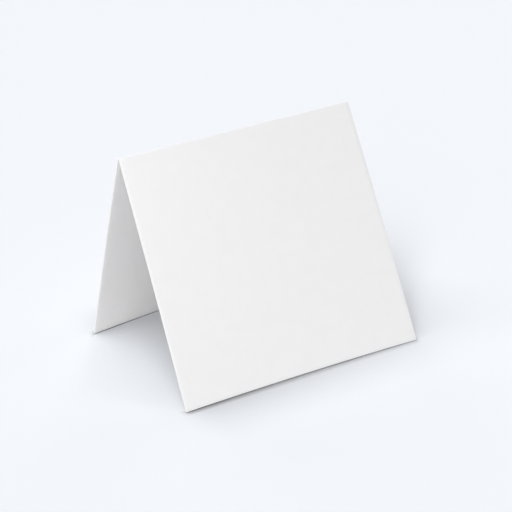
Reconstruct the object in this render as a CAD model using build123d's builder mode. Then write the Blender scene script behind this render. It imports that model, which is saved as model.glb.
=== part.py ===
from build123d import *
from math import cos, pi, radians, sin
import os

os.makedirs("parts", exist_ok=True)

# A blank sheet of thin card, folded once across its middle and stood up as a tent.
# X runs along the fold, Y across it and Z up. The origin is on the table, midway between the feet.

# Flat sheet
sheet_width = 100.0          # along the fold
sheet_length = 193.0         # across the fold, from foot edge to foot edge
sheet_thickness = 0.3        # card of about 250 g per square metre
foot_hollow = 0.6            # each foot edge is cut back this far at its middle

# Fold
fold_inside_radius = 0.15    # pressed almost sharp
left_lean_angle = 22.8       # lean of the panels from upright at the left end, in degrees
right_lean_angle = 26.8      # the right end is opened a little wider
bulge_height = 0.4           # the panels spring outwards this far at their middle

# The sheet is lofted through this many sections, evenly spaced from end to end
section_count = 5

half_thickness = sheet_thickness / 2
fold_middle_radius = fold_inside_radius + half_thickness
fold_outside_radius = fold_inside_radius + sheet_thickness
left_end = -sheet_width / 2
right_end = sheet_width / 2


def between(left_value, right_value, x):
    """Value at station x of something that changes evenly from end to end."""
    share = (x - left_end) / sheet_width
    return left_value + (right_value - left_value) * share


def crest_lean(x):
    """Lean of a panel where it leaves the fold, in radians: the bulge makes it lean more there."""
    return radians(between(left_lean_angle, right_lean_angle, x)) + 8 * bulge_height / sheet_length


def panel_length(x):
    """What the bend leaves of half the sheet, along its mid-surface."""
    bend_allowance = fold_middle_radius * (pi - 2 * crest_lean(x))
    return (sheet_length - bend_allowance) / 2


def foot_distance(x):
    """Distance down the panel from the bend to the hollow foot edge."""
    return panel_length(x) - foot_hollow * (1 - (x / right_end) ** 2)


def front_point(x, distance, offset):
    """Point of the front panel, measured from the fold's centre in the section at station x.

    The distance runs down the mid-surface from the bend, and the offset outwards from it.
    """
    lean = crest_lean(x)
    bulge_radius = panel_length(x) ** 2 / (8 * bulge_height)
    centre_distance = bulge_radius - fold_middle_radius
    lean_there = lean - distance / bulge_radius
    radius = bulge_radius + offset
    across = centre_distance * cos(lean) - radius * cos(lean_there)
    up = radius * sin(lean_there) - centre_distance * sin(lean)
    return across, up


def fold_height(x):
    """Height of the fold's centre: straight between two ends that stand on their lowest corners."""
    left_foot = front_point(left_end, foot_distance(left_end), -half_thickness)
    right_foot = front_point(right_end, foot_distance(right_end), -half_thickness)
    return between(-left_foot[1], -right_foot[1], x)


def panel_arc(x, offset):
    """The three points that carry one face of the front panel, from the bend to the foot."""
    return [front_point(x, foot_distance(x) * share, offset) for share in (0, 0.5, 1)]


with BuildPart() as folded_sheet:
    for i in range(section_count):
        x = left_end + sheet_width * i / (section_count - 1)
        section_plane = Plane(origin=(x, 0, fold_height(x)), x_dir=(0, 1, 0), z_dir=(1, 0, 0))
        with BuildSketch(section_plane):
            with BuildLine():
                outer_face = ThreePointArc(*panel_arc(x, half_thickness))
                inner_face = ThreePointArc(*panel_arc(x, -half_thickness))
                Line(outer_face @ 1, inner_face @ 1)
                mirror(about=Plane.YZ)
                bend_start = outer_face @ 0
                ThreePointArc(bend_start, (0, fold_outside_radius), (-bend_start.X, bend_start.Y))
                bend_start = inner_face @ 0
                ThreePointArc(bend_start, (0, fold_inside_radius), (-bend_start.X, bend_start.Y))
            make_face()
    loft()

folded_sheet.part.label = "folded_sheet"
export_step(folded_sheet.part, "parts/folded_sheet.step")
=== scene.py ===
from math import cos, pi, radians, sin

import bmesh
import bpy
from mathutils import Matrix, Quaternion, Vector, noise


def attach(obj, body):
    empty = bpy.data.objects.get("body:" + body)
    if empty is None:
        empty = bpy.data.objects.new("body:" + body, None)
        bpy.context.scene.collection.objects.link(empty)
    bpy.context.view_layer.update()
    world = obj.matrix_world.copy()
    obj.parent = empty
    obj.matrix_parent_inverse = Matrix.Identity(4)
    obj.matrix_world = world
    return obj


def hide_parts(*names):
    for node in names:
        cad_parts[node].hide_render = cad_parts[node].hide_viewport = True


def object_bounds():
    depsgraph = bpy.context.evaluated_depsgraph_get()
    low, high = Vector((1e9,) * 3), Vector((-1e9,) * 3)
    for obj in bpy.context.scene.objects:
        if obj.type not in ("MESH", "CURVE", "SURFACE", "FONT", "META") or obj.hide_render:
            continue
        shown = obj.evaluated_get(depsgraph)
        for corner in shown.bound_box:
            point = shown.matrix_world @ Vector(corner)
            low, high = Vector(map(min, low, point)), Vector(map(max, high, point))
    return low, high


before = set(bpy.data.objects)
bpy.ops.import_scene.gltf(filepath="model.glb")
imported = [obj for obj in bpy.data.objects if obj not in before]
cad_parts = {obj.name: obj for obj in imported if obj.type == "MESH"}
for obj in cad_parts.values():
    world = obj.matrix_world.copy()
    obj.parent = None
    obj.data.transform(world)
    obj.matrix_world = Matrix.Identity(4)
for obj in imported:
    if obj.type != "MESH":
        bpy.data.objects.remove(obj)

millimetre = 0.001
cadLow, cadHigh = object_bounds()
print("frame loaded")


# The sheet of card

sheet = {
    "width": cadHigh.x - cadLow.x,      # along the fold
    "length": 193.0 * millimetre,       # flat, from foot edge to foot edge
    "thickness": 0.3 * millimetre,
    "footHollow": 0.6 * millimetre,     # each foot edge is cut back this far at its middle
    "foldInsideRadius": 0.15 * millimetre,
    "leftLean": 22.8,                   # lean of the panels from upright, degrees
    "rightLean": 26.8,
    "bulge": 0.4 * millimetre,          # outward spring of the panels
    "edgeSoftness": 0.035 * millimetre, # rounding that the knife leaves on the cut edges
    "edgeSegments": 2,
    "columnStep": 1.6 * millimetre,
    "rowStep": 1.6 * millimetre,
    "bendRows": 14,
    "bendReach": 0.9 * millimetre,      # half-width of the finely divided strip at the fold
    "waveHeight": 0.05 * millimetre,    # slight unevenness of the panels
    "waveLength": 34 * millimetre,
}


def between(leftValue, rightValue, x):
    share = x / sheet["width"] + 0.5
    return leftValue + (rightValue - leftValue) * share


def crestLean(x):
    # the bulge makes a panel lean more where it leaves the fold
    chordLean = radians(between(sheet["leftLean"], sheet["rightLean"], x))
    return chordLean + 8 * sheet["bulge"] / sheet["length"]


def foldedPoint(x, along, outward):
    # along: distance from the fold on the flat sheet, negative at the front; outward: from the mid-surface
    lean = crestLean(x)
    bendRadius = sheet["foldInsideRadius"] + sheet["thickness"] / 2
    halfBend = bendRadius * (pi / 2 - lean)
    distance = abs(along)
    if distance <= halfBend:
        angle = distance / bendRadius
        across = -(bendRadius + outward) * sin(angle)
        up = (bendRadius + outward) * cos(angle)
    else:
        panelLength = sheet["length"] / 2 - halfBend
        bulgeRadius = panelLength ** 2 / (8 * sheet["bulge"])
        centre = bulgeRadius - bendRadius
        leanThere = lean - (distance - halfBend) / bulgeRadius
        across = centre * cos(lean) - (bulgeRadius + outward) * cos(leanThere)
        up = (bulgeRadius + outward) * sin(leanThere) - centre * sin(lean)
    side = -1 if along > 0 else 1
    return side * across, up


def foldHeight(x):
    # the crest is straight between two ends that stand on their inner corners
    ends = (-sheet["width"] / 2, sheet["width"] / 2)
    feet = [foldedPoint(end, -sheet["length"] / 2, -sheet["thickness"] / 2)[1] for end in ends]
    return between(-feet[0], -feet[1], x)


def waveAt(x, along):
    # fades out at the fold and at the foot edges, where the sheet touches the table
    share = abs(along) / (sheet["length"] / 2)
    fade = 4 * share * (1 - share)
    place = Vector((x, along, 0)) / sheet["waveLength"]
    return sheet["waveHeight"] * fade * noise.noise(place)


def cutAcross(bm, place, direction):
    everything = bm.verts[:] + bm.edges[:] + bm.faces[:]
    point = [place * part for part in direction]
    bmesh.ops.bisect_plane(bm, geom=everything, plane_co=point, plane_no=direction)


def cutRows(bm):
    # rows across the fold: fine in the bend, wider on the panels
    half = sheet["length"] / 2
    reach = sheet["bendReach"]
    places = [reach * (2 * i / sheet["bendRows"] - 1) for i in range(sheet["bendRows"] + 1)]
    rowCount = round((half - reach) / sheet["rowStep"])
    for i in range(1, rowCount):
        distance = reach + (half - reach) * i / rowCount
        places += [distance, -distance]
    for place in places:
        cutAcross(bm, place, (0, 1, 0))


def cutColumns(bm):
    columnCount = round(sheet["width"] / sheet["columnStep"])
    for i in range(1, columnCount):
        cutAcross(bm, sheet["width"] * (i / columnCount - 0.5), (1, 0, 0))


def foldSheet(bm):
    # every point of the flat slab goes to its place in the folded sheet
    halfLength = sheet["length"] / 2
    for vert in bm.verts:
        x, along, outward = vert.co
        hollow = sheet["footHollow"] * (1 - (2 * x / sheet["width"]) ** 2)
        along *= 1 - hollow / halfLength
        outward += waveAt(x, along)
        across, up = foldedPoint(x, along, outward)
        vert.co = (x, across, up + foldHeight(x))


def makeSheet():
    bm = bmesh.new()
    bmesh.ops.create_cube(bm, size=1)
    bmesh.ops.scale(bm, vec=(sheet["width"], sheet["length"], sheet["thickness"]), verts=bm.verts)
    bmesh.ops.bevel(bm, geom=bm.edges[:], offset=sheet["edgeSoftness"], segments=sheet["edgeSegments"],
                    profile=0.5, affect="EDGES", material=-1)
    cutRows(bm)
    cutColumns(bm)
    flat = bm.loops.layers.uv.new("flatSheet")
    for face in bm.faces:
        for loop in face.loops:
            # the flat sheet's own millimetres, across and along
            loop[flat].uv = (loop.vert.co.x / millimetre, loop.vert.co.y / millimetre)
        face.smooth = True
    foldSheet(bm)
    bmesh.ops.recalc_face_normals(bm, faces=bm.faces)
    mesh = bpy.data.meshes.new("cardSheet")
    bm.to_mesh(mesh)
    bm.free()
    piece = bpy.data.objects.new("cardSheet", mesh)
    bpy.context.collection.objects.link(piece)
    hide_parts("folded_sheet")
    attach(piece, "root")
    return piece


# Finish of the card

card = {
    "colour": (0.855, 0.853, 0.862),    # bright white, uncoated
    "shadeColour": (0.838, 0.836, 0.844),   # where the pulp lies thinner
    "coreColour": (0.820, 0.815, 0.805),    # bare pulp on the cut edges
    "specularLevel": 0.22,
    "smoothest": 0.72,                  # roughness on top of the fibres
    "roughest": 0.92,                   # roughness in the hollows between them
    "cloudSize": 5.0,                   # every size here is in millimetres on the flat sheet
    "cloudRange": (0.3, 0.7),           # part of the noise that goes from full to thin pulp
    "cloudShare": 0.5,                  # most of the shade colour that a cloud brings
    "toothSize": 0.42,
    "toothTurn": 30,                    # degrees
    "toothRange": (0.7, 0.3),           # from the tops to the hollows
    "fibreLength": 2.6,
    "fibreWidth": 0.16,
    "fibreSpacing": 4,                  # in fibre widths
    "fibreRidge": 0.05,                 # how narrow a ridge is in its noise
    "fibreTurns": (9, 52, 101, 148),    # degrees
    "turnShift": (7.3, 3.1),            # each turn reads another part of the noise
    "fibreRise": 0.35,                  # height of a fibre against the tooth
    "fibreShare": 0.15,                 # what a fibre takes off the shade colour
    "surfaceHeight": 0.009,
    "creaseReach": 0.75,                # the worked strip along the fold, half its width
    "creaseCore": 0.4,                  # share of that strip which is fully worked
    "creaseLength": 3.0,                # cracks in that strip run along the fold
    "creaseWidth": 0.07,
    "creaseHeight": 0.020,
    "crackRange": (0.55, 0.75),
    "crackShare": 0.8,
    "creasePolish": 0.12,               # the worked strip is this much smoother
    "edgeDepth": 0.05,                  # the cut edge starts this far inside the sheet's outline
}


def addMath(tree, operation, first, second=0.0):
    node = tree.nodes.new("ShaderNodeMath")
    node.operation = operation
    for socket, value in zip(node.inputs, (first, second)):
        if isinstance(value, bpy.types.NodeSocket):
            tree.links.new(value, socket)
        else:
            socket.default_value = value
    return node.outputs["Value"]


def addParts(tree, place):
    apart = tree.nodes.new("ShaderNodeSeparateXYZ")
    tree.links.new(place, apart.inputs["Vector"])
    return apart.outputs


def addFade(tree, value, low, high, lowResult, highResult):
    node = tree.nodes.new("ShaderNodeMapRange")
    node.interpolation_type = "SMOOTHSTEP"
    tree.links.new(value, node.inputs["Value"])
    node.inputs["From Min"].default_value = low
    node.inputs["From Max"].default_value = high
    node.inputs["To Min"].default_value = lowResult
    node.inputs["To Max"].default_value = highResult
    return node.outputs["Result"]


def addNoise(tree, place, length, width, turn=0, detail=2):
    # features of this length and width on the flat sheet, turned by an angle in degrees
    mapping = tree.nodes.new("ShaderNodeMapping")
    mapping.vector_type = "TEXTURE"
    mapping.inputs["Rotation"].default_value = (0, 0, radians(turn))
    mapping.inputs["Scale"].default_value = (length, width, 1)
    mapping.inputs["Location"].default_value = (*(part * turn for part in card["turnShift"]), 0)
    node = tree.nodes.new("ShaderNodeTexNoise")
    node.noise_dimensions = "2D"
    node.inputs["Scale"].default_value = 1
    node.inputs["Detail"].default_value = detail
    tree.links.new(place, mapping.inputs["Vector"])
    tree.links.new(mapping.outputs["Vector"], node.inputs["Vector"])
    return node.outputs["Fac"]


def addColours(tree, share, first, second):
    node = tree.nodes.new("ShaderNodeMix")
    node.data_type = "RGBA"
    tree.links.new(share, node.inputs["Factor"])
    for name, colour in (("A", first), ("B", second)):
        if isinstance(colour, bpy.types.NodeSocket):
            tree.links.new(colour, node.inputs[name])
        else:
            node.inputs[name].default_value = (*colour, 1)
    return node.outputs["Result"]


def addFibres(tree, place):
    # thin ridges where each stretched noise crosses its middle value, a few directions laid together
    fibres = None
    for turn in card["fibreTurns"]:
        spacing = card["fibreWidth"] * card["fibreSpacing"]
        cloud = addNoise(tree, place, card["fibreLength"], spacing, turn, detail=1)
        away = addMath(tree, "ABSOLUTE", addMath(tree, "SUBTRACT", cloud, 0.5))
        ridge = addFade(tree, away, 0.0, card["fibreRidge"], 1.0, 0.0)
        fibres = ridge if fibres is None else addMath(tree, "MAXIMUM", fibres, ridge)
    return fibres


def whiteCard():
    material = bpy.data.materials.new("whiteCard")
    material.use_nodes = True
    tree = material.node_tree
    shader = tree.nodes["Principled BSDF"]
    shader.inputs["Specular IOR Level"].default_value = card["specularLevel"]
    flat = tree.nodes.new("ShaderNodeUVMap")
    flat.uv_map = "flatSheet"
    place = flat.outputs["UV"]
    flatParts = addParts(tree, place)
    fromMiddle = addMath(tree, "ABSOLUTE", flatParts["X"])
    fromFold = addMath(tree, "ABSOLUTE", flatParts["Y"])

    # where the fold and the cut edges are
    reach = card["creaseReach"]
    crease = addFade(tree, fromFold, reach * card["creaseCore"], reach, 1.0, 0.0)
    sideEdge = sheet["width"] / 2 / millimetre - card["edgeDepth"]
    footEdge = sheet["length"] / 2 / millimetre - card["edgeDepth"]
    edge = addMath(tree, "MAXIMUM", addMath(tree, "GREATER_THAN", fromMiddle, sideEdge),
                   addMath(tree, "GREATER_THAN", fromFold, footEdge))

    # pulp clouds, surface tooth and single fibres
    clouds = addNoise(tree, place, card["cloudSize"], card["cloudSize"], detail=4)
    tooth = addNoise(tree, place, card["toothSize"], card["toothSize"], card["toothTurn"], detail=4)
    fibres = addFibres(tree, place)
    cracks = addNoise(tree, place, card["creaseLength"], card["creaseWidth"], detail=3)

    relief = addMath(tree, "ADD", tooth, addMath(tree, "MULTIPLY", fibres, card["fibreRise"]))
    worked = addMath(tree, "MULTIPLY", addMath(tree, "MULTIPLY", cracks, crease),
                     card["creaseHeight"] / card["surfaceHeight"])
    height = addMath(tree, "ADD", relief, worked)
    bump = tree.nodes.new("ShaderNodeBump")
    bump.inputs["Distance"].default_value = card["surfaceHeight"] * millimetre
    tree.links.new(height, bump.inputs["Height"])
    tree.links.new(bump.outputs["Normal"], shader.inputs["Normal"])

    thinness = addFade(tree, clouds, *card["cloudRange"], 0.0, card["cloudShare"])
    thinness = addMath(tree, "SUBTRACT", thinness, addMath(tree, "MULTIPLY", fibres, card["fibreShare"]))
    broken = addFade(tree, cracks, *card["crackRange"], 0.0, card["crackShare"])
    broken = addMath(tree, "MULTIPLY", broken, crease)
    pulp = addColours(tree, addMath(tree, "MAXIMUM", thinness, broken), card["colour"], card["shadeColour"])
    tree.links.new(addColours(tree, edge, pulp, card["coreColour"]), shader.inputs["Base Color"])

    dullness = addFade(tree, tooth, *card["toothRange"], card["smoothest"], card["roughest"])
    polish = addMath(tree, "MULTIPLY", crease, card["creasePolish"])
    burnished = addMath(tree, "SUBTRACT", dullness, polish)
    tree.links.new(addMath(tree, "MAXIMUM", burnished, edge), shader.inputs["Roughness"])
    return material


piece = makeSheet()
piece.data.materials.append(whiteCard())
print("sheet made:", len(piece.data.polygons), "faces")


# Floor and light

stage = {
    "groundColour": (0.884, 0.908, 0.947),  # pale blue ground, as the camera sees it
    "backdropColour": (0.905, 0.930, 0.975),
    "bounce": 0.80,                     # what the ground throws back at the card
    "floorSize": 5.0,
    "footBlend": 0.001,                 # the two shades below change over within this width at the feet
    "endSpread": 2.0,                   # and that width grows this fast past the sheet's ends
    "outsideReach": 0.030,              # painted soft shade round the feet
    "outsideDepth": (1.15, 0.60),       # every depth is given at the sheet's left end and right end
    "closeReach": 0.003,                # painted darker line right at the feet
    "closeDepth": (2.9, 1.2),
    "underReach": 0.070,                # painted shade under the sheet
    "underDepth": (0.40, 0.16),
    "openEnd": (-0.060, -0.038),        # between these, at the left end, the shade round the feet fades
    "openEndShare": 0.2,                # to this share
    "contactSamples": 16,
    "zenithStrength": 0.12,             # a dim ceiling over brighter low walls
    "horizonStrength": 0.655,
    "wallTop": 0.6,                     # height of the walls on a unit sphere
    "softness": 30.0,                   # width of each high lamp in the sky, degrees
    "highLamps": {                      # degrees from the front towards the right, degrees up, strength
        "frontLamp": (315.0, 60.0, 0.587),
        "frontLowLamp": (315.0, 35.0, 0.123),
        "backLeftLamp": (225.0, 60.0, 0.187),
        "backLowLamp": (180.0, 35.0, 0.124),
        "backRightLamp": (135.0, 35.0, 0.057),
    },
    "closeLamps": {                     # place, size and power; these light the sheet alone
        "openEndLamp": ((-0.11, 0.0, 0.01), 0.04, 0.0135),
        "topCornerLamp": ((-0.16, -0.08, 0.16), 0.10, 0.0576),
    },
    "closeAim": (-0.04, 0, 0.035),      # where both of them point
}


def makeFloor():
    bm = bmesh.new()
    bmesh.ops.create_grid(bm, x_segments=1, y_segments=1, size=stage["floorSize"] / 2)
    mesh = bpy.data.meshes.new("floor")
    bm.to_mesh(mesh)
    bm.free()
    floor = bpy.data.objects.new("floor", mesh)
    bpy.context.collection.objects.link(floor)
    floor.data.materials.append(paleGround())


def addShownRays(tree):
    # 1 where the camera looks straight, or by way of gloss or glass
    rays = tree.nodes.new("ShaderNodeLightPath")
    seen = addMath(tree, "MAXIMUM", rays.outputs["Is Camera Ray"], rays.outputs["Is Glossy Ray"])
    return addMath(tree, "MAXIMUM", seen, rays.outputs["Is Transmission Ray"])


def addBlend(tree, share, first, second):
    node = tree.nodes.new("ShaderNodeMix")
    for name, value in (("Factor", share), ("A", first), ("B", second)):
        tree.links.new(value, node.inputs[name])
    return node.outputs["Result"]


def addGroundParts(tree):
    return addParts(tree, tree.nodes.new("ShaderNodeTexCoord").outputs["Object"])


def addAlong(tree, leftValue, rightValue):
    # a value that changes from the sheet's left end to its right end
    end = sheet["width"] / 2
    return addFade(tree, addGroundParts(tree)["X"], -end, end, leftValue, rightValue)


def addOutside(tree):
    # 0 under the sheet and 1 outside its feet, which stand further apart at the right end
    ends = (-sheet["width"] / 2, sheet["width"] / 2)
    leftFoot, rightFoot = (abs(foldedPoint(end, -sheet["length"] / 2, 0)[0]) for end in ends)
    spread = (rightFoot - leftFoot) / sheet["width"]
    middleFoot = (rightFoot + leftFoot) / 2
    ground = addGroundParts(tree)
    across = addMath(tree, "ABSOLUTE", ground["Y"])
    foot = addMath(tree, "ADD", addMath(tree, "MULTIPLY", ground["X"], spread), middleFoot)
    past = addMath(tree, "SUBTRACT", across, foot)
    # the change widens beyond the sheet's ends, so that it shows no line on the open ground
    beyond = addMath(tree, "SUBTRACT", addMath(tree, "ABSOLUTE", ground["X"]), sheet["width"] / 2)
    spreadOut = addMath(tree, "MULTIPLY", addMath(tree, "MAXIMUM", beyond, 0.0), stage["endSpread"])
    share = addMath(tree, "DIVIDE", past, addMath(tree, "ADD", spreadOut, stage["footBlend"]))
    return addFade(tree, share, -1.0, 0.0, 0.0, 1.0)


def addContact(tree, reach, depth):
    # how open the ground is to the sky within this reach, made deeper by a power
    contact = tree.nodes.new("ShaderNodeAmbientOcclusion")
    contact.samples = stage["contactSamples"]
    contact.inputs["Distance"].default_value = reach
    return addMath(tree, "POWER", contact.outputs["AO"], depth)


def addOutput(tree, kind, lighting, shown):
    # one shader lights the scene and another is what the camera sees
    mix = tree.nodes.new("ShaderNodeMixShader")
    tree.links.new(addShownRays(tree), mix.inputs["Fac"])
    tree.links.new(lighting, mix.inputs[1])
    tree.links.new(shown, mix.inputs[2])
    output = tree.nodes.new(kind)
    tree.links.new(mix.outputs["Shader"], output.inputs["Surface"])


def paleGround():
    material = bpy.data.materials.new("paleGround")
    material.use_nodes = True
    tree = material.node_tree
    tree.nodes.clear()
    bounced = tree.nodes.new("ShaderNodeBsdfDiffuse")
    bounced.inputs["Color"].default_value = (stage["bounce"],) * 3 + (1,)
    shown = tree.nodes.new("ShaderNodeBsdfDiffuse")
    # painted contact shadow: the ground's colour is made a little darker under the sheet and close to its
    # feet, by how open it is to the sky
    outside = addOutside(tree)
    endFade = addFade(tree, addGroundParts(tree)["X"], *stage["openEnd"], stage["openEndShare"], 1.0)
    outsideDepth = addMath(tree, "MULTIPLY", addAlong(tree, *stage["outsideDepth"]), endFade)
    near = addMath(tree, "MULTIPLY", addContact(tree, stage["outsideReach"], outsideDepth),
                   addContact(tree, stage["closeReach"], addAlong(tree, *stage["closeDepth"])))
    under = addContact(tree, stage["underReach"], addAlong(tree, *stage["underDepth"]))
    openness = addBlend(tree, outside, under, near)
    tree.links.new(addColours(tree, openness, (0, 0, 0), stage["groundColour"]), shown.inputs["Color"])
    addOutput(tree, "ShaderNodeOutputMaterial", bounced.outputs["BSDF"], shown.outputs["BSDF"])
    return material


def makeDome():
    world = bpy.data.worlds.new("dome")
    bpy.context.scene.world = world
    world.use_nodes = True
    tree = world.node_tree
    tree.nodes.clear()
    light = tree.nodes.new("ShaderNodeBackground")
    light.inputs["Color"].default_value = (1, 1, 1, 1)
    shown = tree.nodes.new("ShaderNodeBackground")
    shown.inputs["Color"].default_value = (*stage["backdropColour"], 1)
    # the light falls off from the walls to the ceiling
    direction = addParts(tree, tree.nodes.new("ShaderNodeTexCoord").outputs["Generated"])
    strength = addFade(tree, direction["Z"], 0.0, stage["wallTop"],
                       stage["horizonStrength"], stage["zenithStrength"])
    tree.links.new(strength, light.inputs["Strength"])
    addOutput(tree, "ShaderNodeOutputWorld", light.outputs["Background"], shown.outputs["Background"])


def addLamp(name, data, place, aim):
    lamp = bpy.data.objects.new(name, data)
    bpy.context.collection.objects.link(lamp)
    lamp.location = place
    lamp.rotation_mode = "QUATERNION"
    lamp.rotation_quaternion = (Vector(aim) - Vector(place)).to_track_quat("-Z", "Y")
    lamp.visible_camera = False
    return lamp


def makeLamps():
    for name, (turned, height, strength) in stage["highLamps"].items():
        data = bpy.data.lights.new(name, "SUN")
        data.angle = radians(stage["softness"])
        data.energy = pi * strength
        turned, height = radians(turned), radians(height)
        addLamp(name, data, (sin(turned) * cos(height), -cos(turned) * cos(height), sin(height)), (0, 0, 0))
    sheetOnly = bpy.data.collections.new("sheetOnly")
    sheetOnly.objects.link(piece)
    for name, (place, size, power) in stage["closeLamps"].items():
        data = bpy.data.lights.new(name, "AREA")
        data.shape = "DISK"
        data.size = size
        data.energy = power
        addLamp(name, data, place, stage["closeAim"]).light_linking.receiver_collection = sheetOnly


makeFloor()
makeDome()
makeLamps()
print("floor and light made")


# Camera

shot = {
    "aim": (0.00191, -0.00562, 0.03607),
    "distance": 0.70978,
    "yaw": 29.923,                      # turned from straight on, degrees
    "pitch": 26.309,                    # looking down, degrees
    "roll": -3.389,
    "focalPixels": 1840.0,              # on a picture 512 pixels wide
    "pictureWidth": 512,
    "sensorWidth": 36.0,
    "nearest": 0.05,                    # what lies closer or further than these isn't seen
    "furthest": 20,
}


def makeCamera():
    data = bpy.data.cameras.new("camera")
    data.sensor_width = shot["sensorWidth"]
    data.lens = shot["focalPixels"] * shot["sensorWidth"] / shot["pictureWidth"]
    data.clip_start, data.clip_end = shot["nearest"], shot["furthest"]
    camera = bpy.data.objects.new("camera", data)
    bpy.context.collection.objects.link(camera)
    yaw, pitch = radians(shot["yaw"]), radians(shot["pitch"])
    forward = Vector((sin(yaw) * cos(pitch), cos(yaw) * cos(pitch), -sin(pitch)))
    camera.location = Vector(shot["aim"]) - forward * shot["distance"]
    camera.rotation_mode = "QUATERNION"
    level = forward.to_track_quat("-Z", "Y")
    camera.rotation_quaternion = level @ Quaternion((0, 0, 1), radians(shot["roll"]))
    bpy.context.scene.camera = camera


makeCamera()
bpy.context.scene.view_settings.view_transform = "Standard"
print("camera made")
